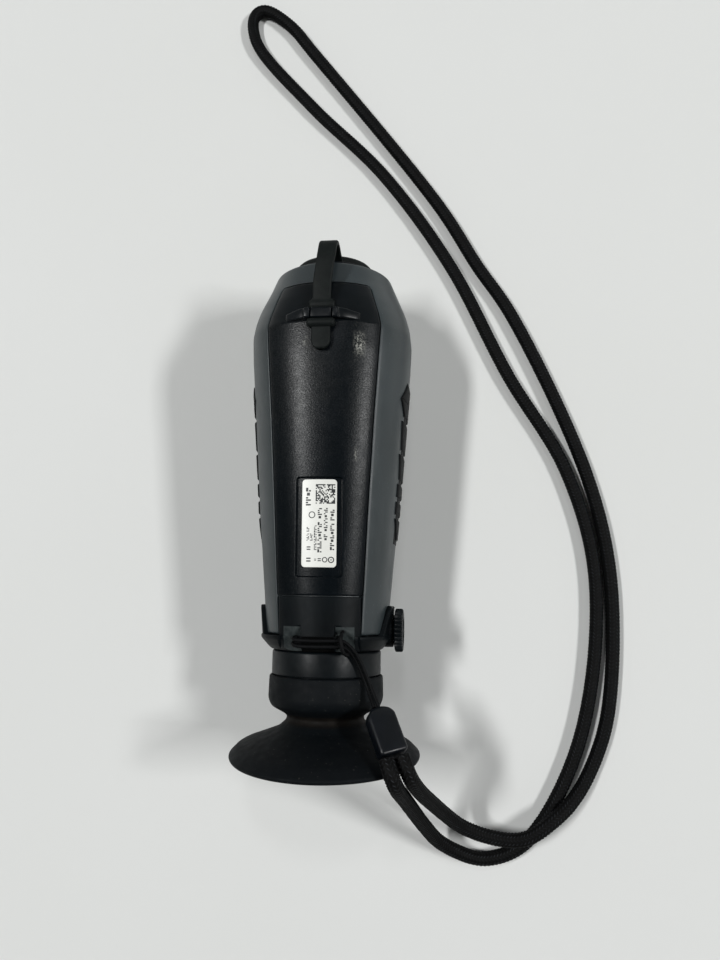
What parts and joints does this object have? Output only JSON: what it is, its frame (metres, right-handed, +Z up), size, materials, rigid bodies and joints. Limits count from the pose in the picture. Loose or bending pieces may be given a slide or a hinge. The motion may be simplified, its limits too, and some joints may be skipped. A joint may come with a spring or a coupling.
{
  "type": "thermal imaging camera",
  "caption": "Hand-held thermal imaging monocular with a flared rubber eyecup, side focus knob, tethered lens cap and braided wrist lanyard, lying underside up.",
  "frame": {"origin": "on the table, under the middle of the camera without its lanyard", "axes": "+Y along the optical axis towards the objective lens, +X towards the focus knob, +Z up, with the camera lying on its button side"},
  "size_m": [0.156, 0.3652, 0.066],
  "materials": {
    "slate_shell": "soft-touch slate grey, faint speckle",
    "grained_panel": "fine sparkle grain, semi-matt, lightly scuffed",
    "satin_black": "satin moulded black",
    "inner_plastic": "plain moulded black",
    "grip_rubber": "matt moulded rubber",
    "eyecup_rubber": "matt soft rubber, a little dusty",
    "key_rubber": "matt moulded rubber",
    "strap_rubber": "smooth matt rubber, dark greenish black",
    "seal_rubber": "smooth black O-ring rubber",
    "gloss_black": "smooth bluish-black moulding",
    "label_film": "white printed film with rounded corners",
    "black_metal": "black anodised",
    "cast_alloy": "as cast, fine grain",
    "cell_wrap": "shrink-wrapped cell, blue",
    "steel": "turned, bright",
    "brass": "turned",
    "flex_ribbon": "amber flexible circuit",
    "germanium": "coated germanium, opaque to light",
    "optical_glass": "coated optical glass",
    "display_glass": "dark display window",
    "circuit_board": "green solder mask, with parts on it",
    "tether_fibre": "smooth thin black cord",
    "braided_cord": "black nylon braid"
  },
  "bodies": {
    "housing": {"armour_shell": "slate_shell", "bottom_panel": "grained_panel", "top_panel": "grained_panel", "rear_collar": "satin_black", "side_grip_right": "grip_rubber", "side_grip_left": "grip_rubber", "front_bezel": "satin_black", "label": "label_film", "eyepiece_barrel": "satin_black", "eyecup": "eyecup_rubber", "knob_bushing": "brass", "objective_barrel": "black_metal", "objective_lens_front": "germanium", "objective_lens_rear": "germanium", "lens_retaining_ring": "black_metal", "objective_o_ring": "seal_rubber", "sensor_core": "cast_alloy", "shutter_motor": "steel", "inner_chassis": "cast_alloy", "mainboard": "circuit_board", "board_screw_1": "steel", "board_screw_2": "steel", "board_screw_3": "steel", "board_screw_4": "steel", "battery_cell": "cell_wrap", "battery_cradle": "inner_plastic", "keypad_board": "circuit_board", "keypad_flex": "flex_ribbon", "display_module": "display_glass", "display_board": "circuit_board", "port_connector": "steel", "port_board": "circuit_board", "cap_strap": "strap_rubber", "cord_clip": "gloss_black", "tether_cord": "tether_fibre", "lanyard_cord": "braided_cord"},
    "focus_drive": {"focus_knob": "satin_black", "focus_shaft": "steel"},
    "ocular": {"lens_carrier": "black_metal", "carrier_o_ring": "seal_rubber", "eye_lens_rear": "optical_glass", "eye_lens_front": "optical_glass"},
    "brightness_key": {"brightness_button": "key_rubber"},
    "palette_key": {"palette_button": "key_rubber"},
    "capture_key": {"capture_button": "key_rubber"},
    "power_key": {"power_button": "key_rubber"},
    "port_flap": {"port_cover": "key_rubber"},
    "cap": {"lens_cap": "strap_rubber"},
    "shutter": {"shutter_blade": "black_metal"}
  },
  "joints": [
    {"name": "focus_turn", "type": "hinge", "parent": "housing", "child": "focus_drive", "pos_m": [0.0257, -0.0448, 0.0327], "axis": [1, 0, 0], "range_deg": [-66, 66]},
    {"name": "focus_slide", "type": "slide", "parent": "housing", "child": "ocular", "axis": [0, 1, 0], "range_m": [-0.0016, 0.0016]},
    {"name": "brightness_press", "type": "slide", "parent": "housing", "child": "brightness_key", "axis": [0, 0, 1], "range_m": [0, 0.0008], "stiffness_N_per_m": 400},
    {"name": "palette_press", "type": "slide", "parent": "housing", "child": "palette_key", "axis": [0, 0, 1], "range_m": [0, 0.0008], "stiffness_N_per_m": 400},
    {"name": "capture_press", "type": "slide", "parent": "housing", "child": "capture_key", "axis": [0, 0, 1], "range_m": [0, 0.0008], "stiffness_N_per_m": 400},
    {"name": "power_press", "type": "slide", "parent": "housing", "child": "power_key", "axis": [0, 0, 1], "range_m": [0, 0.0008], "stiffness_N_per_m": 400},
    {"name": "port_flap_open", "type": "hinge", "parent": "housing", "child": "port_flap", "pos_m": [-0.0236, -0.0381, 0.0327], "axis": [0, 0, -1], "range_deg": [0, 100]},
    {"name": "cap_pull", "type": "slide", "parent": "housing", "child": "cap", "axis": [0, 1, 0], "range_m": [0, 0.008], "deforming": ["cap_strap"]},
    {"name": "shutter_swing", "type": "hinge", "parent": "housing", "child": "shutter", "pos_m": [0.0154, 0.0641, 0.0327], "axis": [0, 1, 0], "range_deg": [0, 50]}
  ],
  "couplings": [
    {"joint": "focus_turn", "follows": "focus_slide", "rad_per_m": 625}
  ]
}
